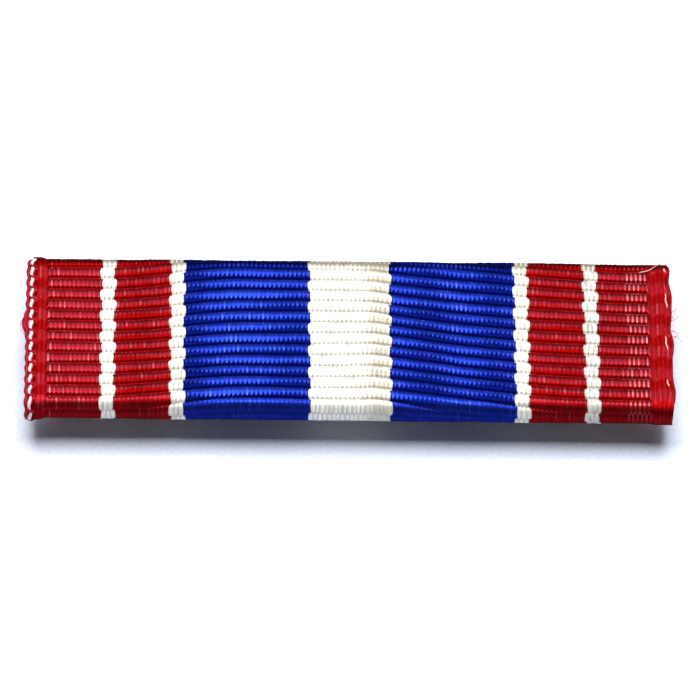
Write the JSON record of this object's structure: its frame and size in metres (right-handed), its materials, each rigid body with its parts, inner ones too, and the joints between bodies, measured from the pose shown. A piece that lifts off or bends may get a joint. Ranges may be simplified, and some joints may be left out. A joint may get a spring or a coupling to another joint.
{
  "type": "service ribbon bar",
  "caption": "Flat bar covered in striped ribbed ribbon, on a slide that runs on a holder strip with a hinged pin and a turning safety catch on its back.",
  "frame": {"origin": "under the middle of the bar, at the lowest point of the fastening", "axes": "+X along the bar, +Y across it, +Z the way the ribbon faces; the bar lies on its back"},
  "size_m": [0.0348, 0.01, 0.0037],
  "materials": {
    "ribbon": "ribbed silk-like weave in red, white and blue stripes",
    "thread": "white twisted yarn",
    "slide_brass": "rolled sheet, lightly tarnished",
    "holder_brass": "brushed sheet",
    "plated_fastening": "nickel plate, satin",
    "rivet_steel": "bright steel",
    "pin_steel": "drawn and ground wire",
    "sleeve_plate": "nickel plate, rolled sheet"
  },
  "bodies": {
    "holder": {"holder_bar": "holder_brass", "hinge_bracket": "plated_fastening", "hinge_rivet": "rivet_steel", "catch_base": "plated_fastening"},
    "ribbon_unit": {"ribbon_slide": "slide_brass", "ribbon": "ribbon", "selvedge_thread": "thread"},
    "pin": {"pin_stem": "pin_steel"},
    "catch": {"catch_sleeve": "sleeve_plate"}
  },
  "joints": [
    {"name": "unit_slide", "type": "slide", "parent": "holder", "child": "ribbon_unit", "axis": [1, 0, 0], "range_m": [-0.036, 0.036]},
    {"name": "pin_open", "type": "hinge", "parent": "holder", "child": "pin", "pos_m": [-0.0132, 0, 0.0011], "axis": [0, 1, 0], "range_deg": [0, 100]},
    {"name": "catch_turn", "type": "hinge", "parent": "holder", "child": "catch", "pos_m": [0.0122, 0, 0.0011], "axis": [-1, 0, 0], "range_deg": [0, 180]}
  ]
}
